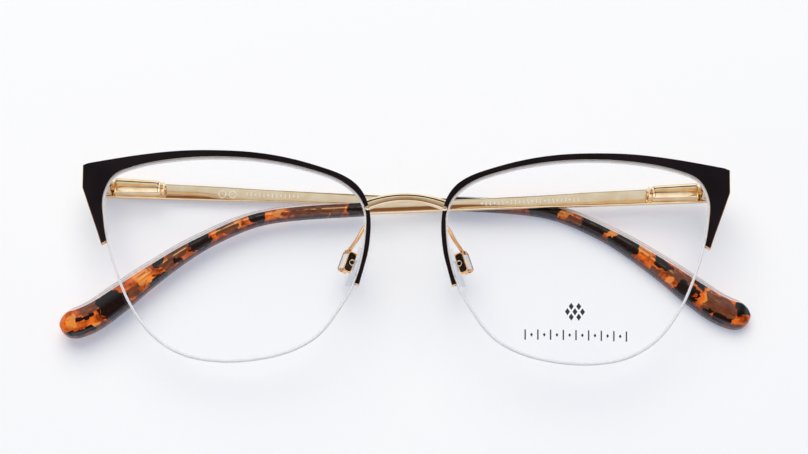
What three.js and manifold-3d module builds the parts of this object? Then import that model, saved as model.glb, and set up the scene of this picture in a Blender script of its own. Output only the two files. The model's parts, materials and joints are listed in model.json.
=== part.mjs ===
// Half-rim eyeglasses, folded and lying on their lower temple with the front facing up.
// Millimetres. +X runs across the front, +Y points to the brow, +Z points out of the front.
// "right" and "left" are the wearer's sides: the right side is at -X, the left side at +X.
// Every side piece is designed once, for the right side, and the left side is its mirror image.
import * as THREE from 'three';
import { mergeVertices } from 'three/addons/utils/BufferGeometryUtils.js';
import Module from 'manifold-3d';

const wasm = await Module();
wasm.setup();

const DEGREE = Math.PI / 180;

// ---------------------------------------------------------------- driving dimensions
// Front: the lens front lies on a sphere whose crown sits over each eye, turned back by the wrap.
const BASE_RADIUS = 130;
const WRAP_SLOPE = 0.07;
const CROWN = { x: 35, y: -14, height: 5.73 };
const PANTOSCOPIC_TILT = 7 * DEGREE;
const FRONT_ABOVE_PIN = 6.5;
const LENS_THICKNESS = 1.8;
const LENS_CENTRE = { x: 35, y: -18.6 };
const RIM_THICKNESS = 1.7;
const RIM_SET_BACK = 0.05;
const RIM_GAP = 0.06;
const RUNNING_GAP = 0.05;

// The groove that runs round the lens edge, and the channel that faces it in the half rim.
const GROOVE = { middle: -0.92, halfWidth: 0.33, depth: 0.42 };
const CHANNEL = { halfWidth: 0.36, depth: 0.42 };
const LINER = { halfWidth: 0.27, reach: 0.28 };
const CORD_RADIUS = 0.27;

// Hinge: the pin stands beside the wing, the temple bar runs outboard of it.
const PIN_X = 62;
const EYELET = { radius: 1.15, height: 1.4, hole: 0.62 };
const EAR = { radius: 1.2, height: 1.07 };
const HINGE_HEIGHT = 3.7;
const PIN_RADIUS = 0.56;
const LEG_BOTTOM = 1.45;
const BODY_BOTTOM = 2.3;

// Temple, in its own frame: u along the temple from the pin, v along the pin, w towards the lens.
const BAR_OUTER = -3.2;
const BAR_INNER = -2.1;
const BAR_END = 70.7;
const BAR_HEIGHTS = [[-1, 3.6], [14, 3.35], [24, 3.15], [34, 2.7], [52, 2.35], [BAR_END, 2.2]];
const TIP_START = 70.8;
const TIP_OUTER = -3.95;
const TIP_THICKNESS = [[0, 2.4], [40, 2.7], [67, 2.8]];
const TIP_HEIGHTS = [[0, 2.8], [20, 3.0], [34, 3.5], [45, 4.6], [55, 5.9], [62, 6.4], [70, 6.5]];
const TIP_END_RADIUS = 3.6;
const CORE_LENGTH = 50;
const CORE_SIZE = [[0, 1.3], [30, 1.2], [CORE_LENGTH, 0.9]];
const CORE_CLEARANCE = 0.07;
const BORE_AXIS = -0.65;
const BORE_RADIUS = 0.75;
const HOUSING = { start: 1.7, end: 12.1, bead: 13.0, inner: 0.7, tall: 3.5, low: 2.9 };

// Folded position: how far each temple droops and is turned from square about its pin.
const FOLD = {
  right: { droop: 1.5 * DEGREE, turn: 1.2 * DEGREE },
  left: { droop: 3.6 * DEGREE, turn: -1.0 * DEGREE },
};

// Nose pad: x points to the nose, y up the pad, z to the front, all about the pad screw.
const PAD_PLACE = new THREE.Vector3(-11.6, -17.85, -2.5);
const PAD_SPLAY = 32 * DEGREE;
const PAD_LEAN = 19 * DEGREE;
const PAD_SIZE = new THREE.Vector3(1.25, 6.6, 3.6);
const PAD_CENTRE = 2.35;
const PAD_BACK = 1.3;
const PAD_BOX = { back: -1.35, front: 0.7, half: 2.2, outer: 1.15, inner: 0.75, floor: -1.0 };

// Outline of the lens (distance from the midline, height), from the nasal end of the rim
// over the brow to its temporal end, then down round the free lower edge.
const LENS_OUTLINE = [
  [10.25, -23.7], [8.65, -18.0], [8.06, -12.6], [8.2, -8.9], [9.6, -5.7], [13.3, -2.6],
  [20.2, -0.15], [29.0, 1.65], [38.6, 2.38], [47.6, 2.1], [55.0, 1.0], [59.6, -0.8],
  [61.55, -4.9], [61.25, -10.0], [60.25, -15.0], [58.2, -21.2], [55.2, -27.8], [50.6, -34.0],
  [44.6, -37.9], [37.4, -39.4], [29.6, -39.1], [22.4, -37.3], [17.2, -34.2], [13.3, -29.2],
];
const STEPS_PER_POINT = 3;
const LENS_SAMPLES = LENS_OUTLINE.length * STEPS_PER_POINT;
const RIM_SAMPLES = 14 * STEPS_PER_POINT;

// Outer edge of the rim: up the nose side and along the brow to the corner of the wing.
const RIM_NASAL_END = [9.25, -23.95];
const BROW_EDGE = [
  [8.35, -20.6], [7.6, -17.6], [7.15, -14.0], [7.1, -10.8], [7.5, -7.9], [8.5, -5.3], [10.2, -3.1],
  [13.0, -1.3], [17.6, 0.35], [23.6, 2.0], [30.4, 3.2], [38.4, 3.8], [46.4, 3.9], [54.4, 3.4],
  [61.0, 2.75], [65.9, 2.25],
];
const WING_CORNERS = [[66.3, 1.8], [66.15, -2.95]];
const WING_EDGE = [[64.25, -7.9], [62.4, -12.8], [61.55, -15.2]];

// ---------------------------------------------------------------- shared helpers
function valueAt(table, position) {
  for (let i = 1; i < table.length; i += 1) {
    const [from, before] = table[i - 1];
    const [to, after] = table[i];
    if (position <= to || i === table.length - 1) {
      const share = THREE.MathUtils.clamp((position - from) / (to - from), 0, 1);
      return before + (after - before) * share;
    }
  }
  return table[0][1];
}

function frontHeight(x, y) {
  const across = Math.abs(x) - CROWN.x;
  const up = y - CROWN.y;
  return CROWN.height - (across * across + up * up) / (2 * BASE_RADIUS) - WRAP_SLOPE * across;
}

function onRightSide(points) {
  return points.map(([fromMidline, height]) => new THREE.Vector2(-fromMidline, height));
}

function signedVolume(positions, index) {
  const a = new THREE.Vector3();
  const b = new THREE.Vector3();
  const c = new THREE.Vector3();
  let volume = 0;
  for (let i = 0; i < index.length; i += 3) {
    a.fromArray(positions, index[i] * 3);
    b.fromArray(positions, index[i + 1] * 3);
    c.fromArray(positions, index[i + 2] * 3);
    volume += a.dot(b.cross(c)) / 6;
  }
  return volume;
}

// A closed skin through rings of equal point count, with a fan over each end.
function loft(rings) {
  const count = rings[0].length;
  const ends = [rings[0], rings[rings.length - 1]].map((ring) => {
    const middle = new THREE.Vector3();
    ring.forEach((point) => middle.addScaledVector(point, 1 / count));
    return middle;
  });
  const positions = [...rings.flat(), ...ends].flatMap((point) => point.toArray());
  const firstEnd = rings.length * count;
  const lastRing = firstEnd - count;
  const index = [];
  for (let j = 0; j < count; j += 1) {
    const next = (j + 1) % count;
    for (let i = 0; i < rings.length - 1; i += 1) {
      const here = i * count;
      const there = here + count;
      index.push(here + j, here + next, there + next);
      index.push(here + j, there + next, there + j);
    }
    index.push(firstEnd, next, j);
    index.push(firstEnd + 1, lastRing + j, lastRing + next);
  }
  if (signedVolume(positions, index) < 0) {
    index.reverse();
  }
  const geometry = new THREE.BufferGeometry();
  geometry.setAttribute('position', new THREE.Float32BufferAttribute(positions, 3));
  geometry.setIndex(index);
  return geometry;
}

function toSolid(geometry) {
  const bare = geometry.clone();
  bare.deleteAttribute('normal');
  bare.deleteAttribute('uv');
  const merged = mergeVertices(bare, 1e-4);
  const vertProperties = Float32Array.from(merged.attributes.position.array);
  const triVerts = Uint32Array.from(merged.index.array);
  return new wasm.Manifold(new wasm.Mesh({ numProp: 3, vertProperties, triVerts }));
}

function toGeometry(solid) {
  const mesh = solid.getMesh();
  const geometry = new THREE.BufferGeometry();
  geometry.setAttribute('position', new THREE.BufferAttribute(mesh.vertProperties, 3));
  geometry.setIndex(new THREE.BufferAttribute(mesh.triVerts, 1));
  return geometry;
}

function join(geometries) {
  return toGeometry(geometries.map(toSolid).reduce((whole, next) => whole.add(next)));
}

function cut(geometry, cutters) {
  return toGeometry(cutters.map(toSolid).reduce((left, next) => left.subtract(next), toSolid(geometry)));
}

function mirrored(geometry) {
  const copy = toGeometry(toSolid(geometry)).scale(-1, 1, 1);
  copy.index.array.reverse();
  return copy;
}

function box(fromX, toX, fromY, toY, fromZ, toZ) {
  const geometry = new THREE.BoxGeometry(toX - fromX, toY - fromY, toZ - fromZ);
  return geometry.translate((fromX + toX) / 2, (fromY + toY) / 2, (fromZ + toZ) / 2);
}

function tube(curve, radius, steps, sides) {
  const section = new THREE.Shape();
  section.absarc(0, 0, radius, 0, Math.PI * 2);
  const settings = { steps, curveSegments: sides, bevelEnabled: false, extrudePath: curve };
  return new THREE.ExtrudeGeometry(section, settings);
}

// A profile of (radius, height) pairs turned about the Y axis.
function turned(profile, sides) {
  return new THREE.LatheGeometry(profile.map(([r, y]) => new THREE.Vector2(r, y)), sides);
}

// A turned ring along +X, from one station to the next.
function collar(inner, outer, from, to, sides) {
  const profile = [[inner, from], [outer, from], [outer, to], [inner, to], [inner, from]];
  return turned(profile, sides).rotateZ(-Math.PI / 2);
}

// Eight-sided cross-section: a rectangle with its corners taken off.
function chamfered(halfA, halfB, corner) {
  const a = halfA - corner;
  const b = halfB - corner;
  return [
    [halfA, -b], [halfA, b], [a, halfB], [-a, halfB], [-halfA, b], [-halfA, -b], [-a, -halfB], [a, -halfB],
  ];
}

// Twelve-sided cross-section with round corners, for the moulded pieces.
function rounded(halfA, halfB, corner) {
  const points = [];
  const a = halfA - corner;
  const b = halfB - corner;
  [[a, b, 0], [-a, b, 1], [-a, -b, 2], [a, -b, 3]].forEach(([x, y, quarter]) => {
    for (let k = 0; k <= 2; k += 1) {
      const angle = (quarter + k / 2) * Math.PI / 2;
      points.push([x + corner * Math.cos(angle), y + corner * Math.sin(angle)]);
    }
  });
  return points;
}

// ---------------------------------------------------------------- lens edge
const lensPoints = onRightSide(LENS_OUTLINE).map((point) => new THREE.Vector3(point.x, point.y, 0));
const lensCurve = new THREE.CatmullRomCurve3(lensPoints, true, 'centripetal');

function edgePoint(sample, outwards, height) {
  const share = ((sample / LENS_SAMPLES) % 1 + 1) % 1;
  const point = lensCurve.getPoint(share);
  const tangent = lensCurve.getTangent(share);
  const x = point.x + tangent.y * outwards;
  const y = point.y - tangent.x * outwards;
  return new THREE.Vector3(x, y, frontHeight(x, y) + height);
}

// A section of (outwards, height) pairs swept along the lens edge between two samples.
function edgeSweep(section, from, to) {
  const stations = [from];
  for (let sample = Math.floor(from) + 1; sample < to; sample += 1) {
    stations.push(sample);
  }
  stations.push(to);
  return loft(stations.map((at) => section.map(([out, height]) => edgePoint(at, out, height))));
}

function lens() {
  const { middle, halfWidth, depth } = GROOVE;
  const edge = [
    [0, 0], [0, middle + halfWidth], [-depth, middle + halfWidth],
    [-depth, middle - halfWidth], [0, middle - halfWidth], [0, -LENS_THICKNESS],
  ];
  const samples = Array.from({ length: LENS_SAMPLES }, (_, i) => i);
  const face = (share, height) => samples.map((i) => {
    const rim = edgePoint(i, 0, 0);
    const x = -LENS_CENTRE.x + (rim.x + LENS_CENTRE.x) * share;
    const y = LENS_CENTRE.y + (rim.y - LENS_CENTRE.y) * share;
    return new THREE.Vector3(x, y, frontHeight(x, y) + height);
  });
  return loft([
    face(0.35, 0), face(0.7, 0),
    ...edge.map(([out, height]) => samples.map((i) => edgePoint(i, out, height))),
    face(0.7, -LENS_THICKNESS), face(0.35, -LENS_THICKNESS),
  ]);
}

function rimLiner() {
  const { reach, halfWidth } = LINER;
  const low = GROOVE.middle - halfWidth;
  const high = GROOVE.middle + halfWidth;
  return edgeSweep([[-reach, low], [reach, low], [reach, high], [-reach, high]], 1, RIM_SAMPLES - 1);
}

function nylonCord() {
  const section = Array.from({ length: 6 }, (_, i) => {
    const angle = i * Math.PI / 3;
    return [-0.08 + CORD_RADIUS * Math.cos(angle), GROOVE.middle + CORD_RADIUS * Math.sin(angle)];
  });
  return edgeSweep(section, RIM_SAMPLES - 0.95, LENS_SAMPLES + 0.95);
}

// ---------------------------------------------------------------- front
function rimBlank() {
  const shape = new THREE.Shape();
  const start = onRightSide([RIM_NASAL_END])[0];
  shape.moveTo(start.x, start.y);
  shape.splineThru(onRightSide(BROW_EDGE));
  onRightSide(WING_CORNERS).forEach((corner) => shape.lineTo(corner.x, corner.y));
  shape.splineThru(onRightSide(WING_EDGE));
  for (let sample = RIM_SAMPLES; sample >= 0; sample -= 1) {
    const point = edgePoint(sample, RIM_GAP, 0);
    shape.lineTo(point.x, point.y);
  }
  const settings = { depth: RIM_THICKNESS, curveSegments: 3, bevelEnabled: false };
  const blank = new THREE.ExtrudeGeometry(shape, settings);
  const position = blank.attributes.position;
  for (let i = 0; i < position.count; i += 1) {
    const lift = frontHeight(position.getX(i), position.getY(i)) - RIM_SET_BACK - RIM_THICKNESS;
    position.setZ(i, position.getZ(i) + lift);
  }
  return blank;
}

function rim() {
  const { halfWidth, depth } = CHANNEL;
  const { middle } = GROOVE;
  const low = middle - halfWidth;
  const high = middle + halfWidth;
  const section = [[-0.6, low], [depth, low], [depth, high], [-0.6, high]];
  return cut(rimBlank(), [edgeSweep(section, -1, RIM_SAMPLES + 1)]);
}

// A bar arched up and forward between the rims, trimmed to the nose side of both.
function bridge() {
  const reach = 7.9;
  const rings = [];
  for (let i = -8; i <= 8; i += 1) {
    const x = reach * i / 8;
    const share = (i / 8) ** 2;
    const section = rounded(0.9 + 0.25 * share, 0.8, 0.4);
    const y = -5.9 - 1.4 * share;
    const z = 4.1 - 0.4 * share;
    rings.push(section.map(([up, out]) => new THREE.Vector3(x, y + up, z + out)));
  }
  const rightRim = rimBlank().translate(RIM_GAP, 0, 0);
  return cut(loft(rings), [rightRim, mirrored(rightRim)]);
}

// ---------------------------------------------------------------- end piece with its hinge ears
function flatProfile(shape, fromY, toY) {
  const settings = { depth: toY - fromY, curveSegments: 12, bevelEnabled: false };
  return new THREE.ExtrudeGeometry(shape, settings).rotateX(Math.PI / 2).translate(0, toY, 0);
}

function earShape() {
  const shape = new THREE.Shape();
  shape.moveTo(-EAR.radius, BODY_BOTTOM + 0.2);
  shape.lineTo(-EAR.radius, 0);
  shape.absarc(0, 0, EAR.radius, Math.PI, Math.PI * 2);
  shape.lineTo(EAR.radius, BODY_BOTTOM + 0.2);
  const hole = new THREE.Path();
  hole.absarc(0, 0, EYELET.hole, 0, Math.PI * 2);
  shape.holes.push(hole);
  return shape;
}

// The room that the rim and everything before it takes, in the frame of the hinge.
function roomOfTheRim(frontMatrix, hingeMatrix) {
  const geometry = new THREE.BoxGeometry(16, 16, 2, 8, 8, 1).translate(-62, 0, 0);
  const position = geometry.attributes.position;
  const back = -RIM_SET_BACK - RIM_THICKNESS - RUNNING_GAP;
  for (let i = 0; i < position.count; i += 1) {
    const height = frontHeight(position.getX(i), position.getY(i));
    position.setZ(i, height + (position.getZ(i) < 0 ? back : 6));
  }
  const room = join([geometry, rimBlank().translate(0, 0, -RUNNING_GAP)]);
  return room.applyMatrix4(frontMatrix).applyMatrix4(hingeMatrix.clone().invert());
}

function endPiece(frontMatrix, hingeMatrix) {
  const outer = BAR_OUTER;
  const body = new THREE.Shape();
  body.moveTo(outer, LEG_BOTTOM);
  body.lineTo(BAR_INNER + 0.1, LEG_BOTTOM);
  body.lineTo(BAR_INNER + 0.1, BODY_BOTTOM);
  body.lineTo(EAR.radius + 0.1, BODY_BOTTOM);
  body.lineTo(EAR.radius + 0.1, 7);
  body.lineTo(outer, 7);
  const half = HINGE_HEIGHT / 2;
  const pieces = [
    flatProfile(body, -half, half),
    flatProfile(earShape(), half - EAR.height, half),
    flatProfile(earShape(), -half, EAR.height - half),
  ];
  return cut(join(pieces), [roomOfTheRim(frontMatrix, hingeMatrix)]);
}

function hingeScrew() {
  const half = HINGE_HEIGHT / 2;
  return turned([
    [0, -half - 0.1], [PIN_RADIUS, -half - 0.1], [PIN_RADIUS, half + 0.05], [0.9, half + 0.05],
    [0.9, half + 0.3], [0.7, half + 0.5], [0, half + 0.5],
  ], 20);
}

// ---------------------------------------------------------------- temple
const tipCurve = new THREE.CatmullRomCurve3([
  [TIP_START, 0.1], [84, -0.1], [91, -0.7], [96.4, -2.1], [106, -6.5],
  [115.7, -12.8], [122, -17.5], [126.6, -20.6], [130, -21.9], [133.3, -22.2],
].map(([u, v]) => new THREE.Vector3(u, v, 0)), false, 'centripetal');
const TIP_LENGTH = tipCurve.getLength();

// A ring across the tip's centre line: section pairs are (height, depth) about a depth centre.
function tipRing(distance, section, depth) {
  const share = THREE.MathUtils.clamp(distance / TIP_LENGTH, 0, 1);
  const point = tipCurve.getPointAt(share);
  const along = tipCurve.getTangentAt(share);
  point.addScaledVector(along, distance - share * TIP_LENGTH);
  return section.map(([up, out]) => new THREE.Vector3(
    point.x - along.y * up, point.y + along.x * up, depth + out,
  ));
}

function coreRing(distance, grow) {
  const half = valueAt(CORE_SIZE, distance) / 2 + grow;
  return tipRing(distance, chamfered(half, half * 0.85, 0.2), (BAR_OUTER + BAR_INNER) / 2);
}

function coreStations(from) {
  const steps = 14;
  return Array.from({ length: steps + 1 }, (_, i) => from + (CORE_LENGTH - from) * i / steps);
}

function barRing(u, lean) {
  const halfDepth = (BAR_INNER - BAR_OUTER) / 2;
  const middle = (BAR_INNER + BAR_OUTER) / 2;
  const section = chamfered(valueAt(BAR_HEIGHTS, u) / 2, halfDepth, 0.25);
  return section.map(([up, out]) => new THREE.Vector3(u - lean * out, up, middle + out));
}

// The flat metal bar, with the thin core that runs on inside the tip.
function temple() {
  const rings = [barRing(-0.85, 0.19)];
  [6, 14, 24, 34, 43, 52, 62, BAR_END].forEach((u) => rings.push(barRing(u, 0)));
  coreStations(0).forEach((distance) => rings.push(coreRing(distance, 0)));
  return loft(rings);
}

function tipStations() {
  const stations = [];
  for (let distance = 0; distance < TIP_LENGTH - TIP_END_RADIUS; distance += 3.4) {
    stations.push(distance);
  }
  [1, 0.75, 0.5, 0.28, 0.12, 0.03].forEach((share) => stations.push(TIP_LENGTH - TIP_END_RADIUS * share));
  return stations;
}

function templeTip() {
  const rings = tipStations().map((distance) => {
    const left = Math.min(1, (TIP_LENGTH - distance) / TIP_END_RADIUS);
    const roundOff = Math.sqrt(1 - (1 - left) ** 2);
    const halfHeight = valueAt(TIP_HEIGHTS, distance) / 2 * roundOff;
    const halfDepth = valueAt(TIP_THICKNESS, distance) / 2 * (0.75 + 0.25 * roundOff);
    const corner = Math.min(0.75, halfHeight * 0.8);
    return tipRing(distance, rounded(halfHeight, halfDepth, corner), TIP_OUTER + halfDepth);
  });
  const bore = [-1, ...coreStations(0), CORE_LENGTH + 0.5].map((at) => coreRing(at, CORE_CLEARANCE));
  return cut(loft(rings), [loft(bore)]);
}

// ---------------------------------------------------------------- sprung hinge
function springHousing() {
  const { start, end, bead, inner, tall, low } = HOUSING;
  const outer = BAR_INNER + RUNNING_GAP;
  const stations = [
    [start, 1], [4, 1], [8, 1], [end - 0.5, 1], [end - 0.15, 0.92], [end, 0.8], [end + 0.15, 0.8],
    [end + 0.3, 0.9], [bead - 0.3, 0.9], [bead, 0.7],
  ];
  const rings = stations.map(([u, size]) => {
    const halfHeight = THREE.MathUtils.mapLinear(u, start, bead, tall, low) / 2 * size;
    const halfDepth = (inner - outer) / 2 * size;
    return rounded(halfHeight, halfDepth, 0.7 * size).map(
      ([up, out]) => new THREE.Vector3(u, up, outer + halfDepth + out),
    );
  });
  const bore = new THREE.CylinderGeometry(BORE_RADIUS, BORE_RADIUS, 10.2, 20).rotateZ(Math.PI / 2);
  return cut(loft(rings), [bore.translate(6.0, 0, BORE_AXIS)]);
}

function hingeSlider() {
  const ring = new THREE.Shape();
  ring.absarc(0, 0, EYELET.radius, 0, Math.PI * 2);
  const hole = new THREE.Path();
  hole.absarc(0, 0, EYELET.hole, 0, Math.PI * 2);
  ring.holes.push(hole);
  const half = EYELET.height / 2;
  const neck = box(0.8, 2.6, -0.5, 0.5, BORE_AXIS - 0.42, BORE_AXIS + 0.42);
  const rod = new THREE.CylinderGeometry(0.36, 0.36, 7.5, 16).rotateZ(Math.PI / 2);
  return join([flatProfile(ring, -half, half), neck, rod.translate(6.05, 0, BORE_AXIS)]);
}

function springSleeve() {
  return collar(0.45, 0.71, 3.2, 4.0, 20).translate(0, 0, BORE_AXIS);
}

function springRetainer() {
  return collar(0.38, 0.66, 8.8, 9.6, 20).translate(0, 0, BORE_AXIS);
}

class Helix extends THREE.Curve {
  constructor(radius, from, to, turns) {
    super();
    Object.assign(this, { radius, from, to, turns });
  }

  getPoint(share, target = new THREE.Vector3()) {
    const angle = share * this.turns * Math.PI * 2;
    const x = this.from + (this.to - this.from) * share;
    return target.set(x, this.radius * Math.cos(angle), this.radius * Math.sin(angle));
  }
}

function flexSpring() {
  const coil = new Helix(0.545, 4.17, 8.63, 7);
  return tube(coil, 0.085, 63, 3).translate(0, 0, BORE_AXIS);
}

// ---------------------------------------------------------------- nose pad
function padMatrix() {
  const turn = new THREE.Euler(0, PAD_SPLAY, -PAD_LEAN, 'ZYX');
  return new THREE.Matrix4().makeRotationFromEuler(turn).setPosition(PAD_PLACE);
}

// Wire arm from the back of the rim to the little open box, made in the frame of the front.
function padArm() {
  const { back, front, half, outer, inner, floor } = PAD_BOX;
  const screwHole = new THREE.CylinderGeometry(0.42, 0.42, 4, 16).rotateX(Math.PI / 2);
  const into = new THREE.Vector3(-0.95, 1.9, 0).applyMatrix4(padMatrix());
  const rimBack = frontHeight(-7.65, -10.9) - RIM_SET_BACK - RIM_THICKNESS;
  const route = new THREE.CatmullRomCurve3([
    new THREE.Vector3(-7.65, -10.9, rimBack + 0.4),
    new THREE.Vector3(-7.7, -10.8, rimBack - 1.2),
    new THREE.Vector3(-8.6, -11.5, 0.5),
    new THREE.Vector3(-9.9, -13.4, -1.0),
    into,
  ], false, 'centripetal');
  const shell = box(back, front, -half, half, -outer, outer).applyMatrix4(padMatrix());
  const slot = box(floor, front + 1, -half - 1, half + 1, -inner, inner);
  const whole = join([shell, tube(route, 0.4, 12, 4)]);
  const rimRoom = rimBlank().translate(0, 0, -RUNNING_GAP);
  return cut(whole, [slot.applyMatrix4(padMatrix()), screwHole.applyMatrix4(padMatrix()), rimRoom]);
}

function padCore() {
  const tab = box(-0.65, 2.0, -1.0, 1.0, -0.65, 0.65);
  const plate = box(1.9, 2.3, -4.2, 4.2, -1.8, 1.8);
  const hole = new THREE.CylinderGeometry(0.42, 0.42, 4, 16).rotateX(Math.PI / 2);
  return cut(join([tab, plate]), [hole]);
}

function nosePad() {
  const body = new THREE.SphereGeometry(1, 20, 12).rotateX(Math.PI / 2);
  body.scale(PAD_SIZE.x, PAD_SIZE.y, PAD_SIZE.z).translate(PAD_CENTRE, 0, 0);
  const behind = box(-2, PAD_BACK, -8, 8, -5, 5);
  const plateRoom = box(1.85, 2.35, -4.25, 4.25, -1.85, 1.85);
  const tabRoom = box(0, 2.0, -1.05, 1.05, -0.7, 0.7);
  return cut(body, [behind, plateRoom, tabRoom]);
}

function padScrew() {
  return turned([
    [0, -1.3], [0.36, -1.3], [0.36, 1.2], [0.72, 1.2], [0.72, 1.42], [0.5, 1.6], [0, 1.6],
  ], 16).rotateX(Math.PI / 2);
}

// ---------------------------------------------------------------- materials and assembly
const MATERIALS = {
  gold: { color: 0xc9a573, roughness: 0.22, metalness: 1 },
  lacquered: { color: 0x261c22, roughness: 0.5, metalness: 0.2 },
  steel: { color: 0xb9b7b2, roughness: 0.3, metalness: 1 },
  spring: { color: 0x8f9296, roughness: 0.35, metalness: 1 },
  glass: { color: 0xf3f6f8, roughness: 0.05, metalness: 0 },
  nylon: { color: 0xe9ecef, roughness: 0.4, metalness: 0 },
  silicone: { color: 0xe4e6e6, roughness: 0.25, metalness: 0 },
  tortoise: { color: 0x8a4a1e, roughness: 0.15, metalness: 0 },
};

function piece(parent, name, geometry, look) {
  const mesh = new THREE.Mesh(geometry, new THREE.MeshStandardMaterial(MATERIALS[look]));
  mesh.name = name;
  parent.add(mesh);
}

function child(parent, settings = {}) {
  const group = new THREE.Group();
  const { place = [0, 0, 0], turn = [0, 0, 0], size = [1, 1, 1] } = settings;
  group.position.set(...place);
  group.rotation.set(turn[0], turn[1], turn[2], 'ZYX');
  group.scale.set(...size);
  parent.add(group);
  return group;
}

const FRONT_PLACE = { place: [0, 0, FRONT_ABOVE_PIN], turn: [PANTOSCOPIC_TILT, 0, 0] };

function addSide(parent, side) {
  const half = child(parent, { size: [side === 'right' ? 1 : -1, 1, 1] });
  const { droop, turn } = FOLD[side];

  const front = child(half, FRONT_PLACE);
  piece(front, `rim_${side}`, rim(), 'lacquered');
  piece(front, `lens_${side}`, lens(), 'glass');
  piece(front, `rim_liner_${side}`, rimLiner(), 'nylon');
  piece(front, `nylon_cord_${side}`, nylonCord(), 'nylon');
  piece(front, `pad_arm_${side}`, padArm(), 'gold');
  const pad = child(front, { place: PAD_PLACE.toArray(), turn: [0, PAD_SPLAY, -PAD_LEAN] });
  piece(pad, `pad_core_${side}`, padCore(), 'steel');
  piece(pad, `nose_pad_${side}`, nosePad(), 'silicone');
  piece(pad, `pad_screw_${side}`, padScrew(), 'steel');

  const hinge = child(half, { place: [-PIN_X, 0, 0], turn: [0, 0, -droop] });
  front.updateMatrix();
  hinge.updateMatrix();
  piece(hinge, `end_piece_${side}`, endPiece(front.matrix, hinge.matrix), 'gold');
  piece(hinge, `hinge_screw_${side}`, hingeScrew(), 'steel');

  const folded = child(hinge, { turn: [0, turn, 0] });
  piece(folded, `hinge_slider_${side}`, hingeSlider(), 'steel');
  piece(folded, `spring_retainer_${side}`, springRetainer(), 'steel');
  piece(folded, `flex_spring_${side}`, flexSpring(), 'spring');
  piece(folded, `spring_sleeve_${side}`, springSleeve(), 'steel');
  piece(folded, `spring_housing_${side}`, springHousing(), 'gold');
  piece(folded, `temple_${side}`, temple(), 'gold');
  piece(folded, `temple_tip_${side}`, templeTip(), 'tortoise');
}

// The frame is turned about the right hinge pin until the right temple lies flat on the ground.
function assemble() {
  const glasses = new THREE.Group();
  const { droop, turn } = FOLD.right;
  const rightPin = new THREE.Vector3(Math.sin(droop), Math.cos(droop), 0);
  glasses.quaternion.setFromAxisAngle(rightPin, -turn);
  glasses.position.z = -TIP_OUTER + PIN_X * Math.sin(turn) * Math.cos(droop);

  addSide(glasses, 'right');
  addSide(glasses, 'left');
  piece(child(glasses, FRONT_PLACE), 'bridge', bridge(), 'gold');

  const middle = new THREE.Box3().setFromObject(glasses, true).getCenter(new THREE.Vector3());
  glasses.position.x -= middle.x;
  glasses.position.y -= middle.y;
  return glasses;
}

export default assemble();
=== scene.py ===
# Half-rim eyeglasses, folded, lying on the lower temple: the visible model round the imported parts.
# Lengths are in millimetres until build() puts each piece into the row frame, in metres.
# "right" and "left" are the wearer's sides. A side piece is made for the right and mirrored.
import json
import math

import bmesh
import bpy
import numpy as np
from mathutils import Matrix, Vector


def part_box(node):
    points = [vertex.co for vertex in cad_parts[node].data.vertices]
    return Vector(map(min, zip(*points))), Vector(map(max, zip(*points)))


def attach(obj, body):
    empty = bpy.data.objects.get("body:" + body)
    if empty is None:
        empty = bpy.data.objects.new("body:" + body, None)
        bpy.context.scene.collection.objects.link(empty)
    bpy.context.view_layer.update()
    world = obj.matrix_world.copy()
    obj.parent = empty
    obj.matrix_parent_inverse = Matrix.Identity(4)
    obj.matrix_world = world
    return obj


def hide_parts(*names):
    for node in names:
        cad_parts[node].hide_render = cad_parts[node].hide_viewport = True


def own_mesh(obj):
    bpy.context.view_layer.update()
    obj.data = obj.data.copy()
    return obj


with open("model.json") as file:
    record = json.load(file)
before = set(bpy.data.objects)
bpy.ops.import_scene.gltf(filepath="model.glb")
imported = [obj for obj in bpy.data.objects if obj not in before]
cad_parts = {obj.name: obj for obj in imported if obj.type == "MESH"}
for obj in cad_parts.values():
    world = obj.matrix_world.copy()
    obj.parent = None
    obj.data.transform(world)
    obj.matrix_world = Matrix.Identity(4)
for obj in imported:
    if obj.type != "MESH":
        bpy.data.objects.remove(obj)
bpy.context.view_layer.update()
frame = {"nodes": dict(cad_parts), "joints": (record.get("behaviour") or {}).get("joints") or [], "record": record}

MM = 0.001
SIDES = ("right", "left")
TAU = 2 * math.pi

# Mesh clean-up: merging distances in metres, and angles.
WELD = 2e-7
CAD_WELD = 3e-6
CAD_FLAT = math.radians(1.0)
BEVEL_FROM = math.radians(32)

# ----- dimensions, as in the part's source
BASE_RADIUS = 130
WRAP_SLOPE = 0.07
CROWN = (35, -14, 5.73)
PANTOSCOPIC_TILT = math.radians(7)
FRONT_ABOVE_PIN = 6.5
PIN_X = 62
FOLD = {"right": (1.5, 1.2), "left": (3.6, -1.0)}  # each temple's droop and turn, in degrees
PAD_PLACE = (-11.6, -17.85, -2.5)
PAD_SPLAY = math.radians(32)
PAD_LEAN = math.radians(19)

LENS_OUTLINE = [
    (10.25, -23.7), (8.65, -18.0), (8.06, -12.6), (8.2, -8.9), (9.6, -5.7), (13.3, -2.6),
    (20.2, -0.15), (29.0, 1.65), (38.6, 2.38), (47.6, 2.1), (55.0, 1.0), (59.6, -0.8),
    (61.55, -4.9), (61.25, -10.0), (60.25, -15.0), (58.2, -21.2), (55.2, -27.8), (50.6, -34.0),
    (44.6, -37.9), (37.4, -39.4), (29.6, -39.1), (22.4, -37.3), (17.2, -34.2), (13.3, -29.2),
]
RIM_NASAL_END = (9.25, -23.95)
BROW_EDGE = [
    (8.35, -20.6), (7.6, -17.6), (7.15, -14.0), (7.1, -10.8), (7.5, -7.9), (8.5, -5.3),
    (10.2, -3.1), (13.0, -1.3), (17.6, 0.35), (23.6, 2.0), (30.4, 3.2), (38.4, 3.8),
    (46.4, 3.9), (54.4, 3.4), (61.0, 2.75), (65.9, 2.25),
]
WING_CORNERS = [(66.3, 1.8), (66.15, -2.95)]
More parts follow.
